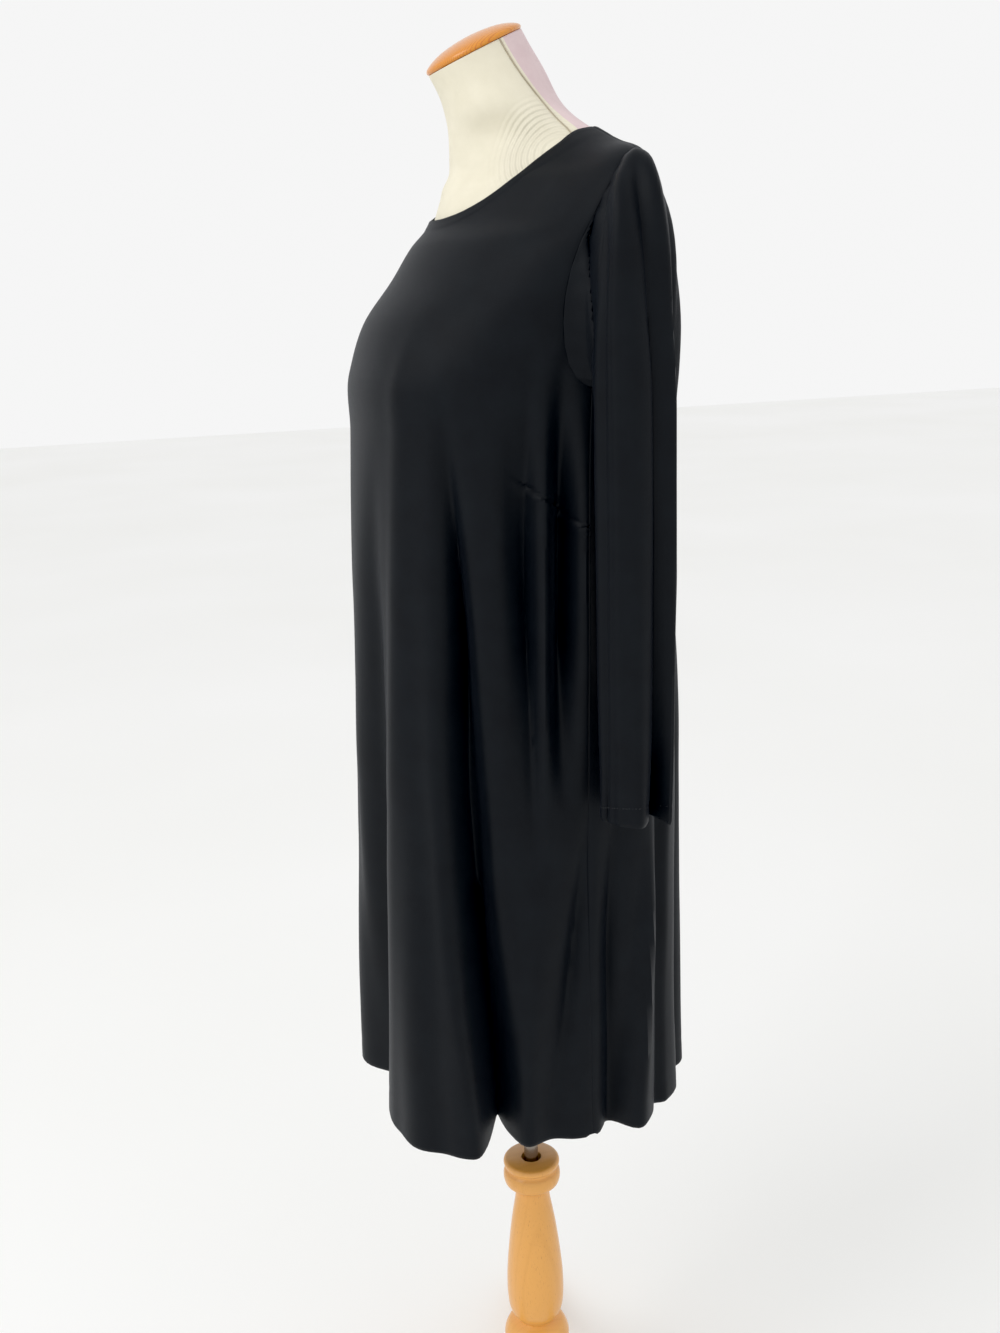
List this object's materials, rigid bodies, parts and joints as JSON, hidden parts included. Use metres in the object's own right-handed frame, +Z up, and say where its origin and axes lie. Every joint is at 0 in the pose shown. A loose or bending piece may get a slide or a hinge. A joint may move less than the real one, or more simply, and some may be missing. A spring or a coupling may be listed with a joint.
{
  "type": "shift dress on a dress form and stand",
  "caption": "Black long-sleeved jersey shift dress on a limbless cream dress form with a wooden neck cap, on a steel pole in a turned wooden stand with legs.",
  "frame": {"origin": "on the floor, in the middle of the bounding box of the stand, form and dress; the pole stands 30 mm to the wearer's left of it and 43 mm behind it", "axes": "+Z up; the wearer's front faces -Y; the wearer's left is +X"},
  "size_m": [0.5011, 0.4919, 1.5967],
  "materials": {
    "jersey": "matt black fine-knit jersey",
    "cover": "matt cream knit cover",
    "cap_wood": "orange-brown glossy varnish",
    "stand_wood": "light wood, satin varnish",
    "steel": "bright steel tube"
  },
  "bodies": {
    "stand": {"stand_column": "stand_wood", "leg_1": "stand_wood", "leg_2": "stand_wood", "leg_3": "stand_wood"},
    "screw": {"clamp_screw": "stand_wood"},
    "pole": {"pole": "steel"},
    "form": {"form_torso": "cover", "neck_cap": "cap_wood", "dress_front": "jersey", "dress_back": "jersey", "sleeve_left": "jersey", "sleeve_right": "jersey"}
  },
  "joints": [
    {"name": "height", "type": "slide", "parent": "stand", "child": "pole", "axis": [0, 0, 1], "range_m": [-0.08, 0.2]},
    {"name": "turn", "type": "hinge", "parent": "pole", "child": "form", "pos_m": [0.03, 0.043, 0.9], "axis": [0, 0, 1], "continuous": true},
    {"name": "clamp", "type": "hinge", "parent": "stand", "child": "screw", "pos_m": [0.03, 0.043, 0.375], "axis": [-0.9563, 0.2924, 0], "continuous": true}
  ]
}
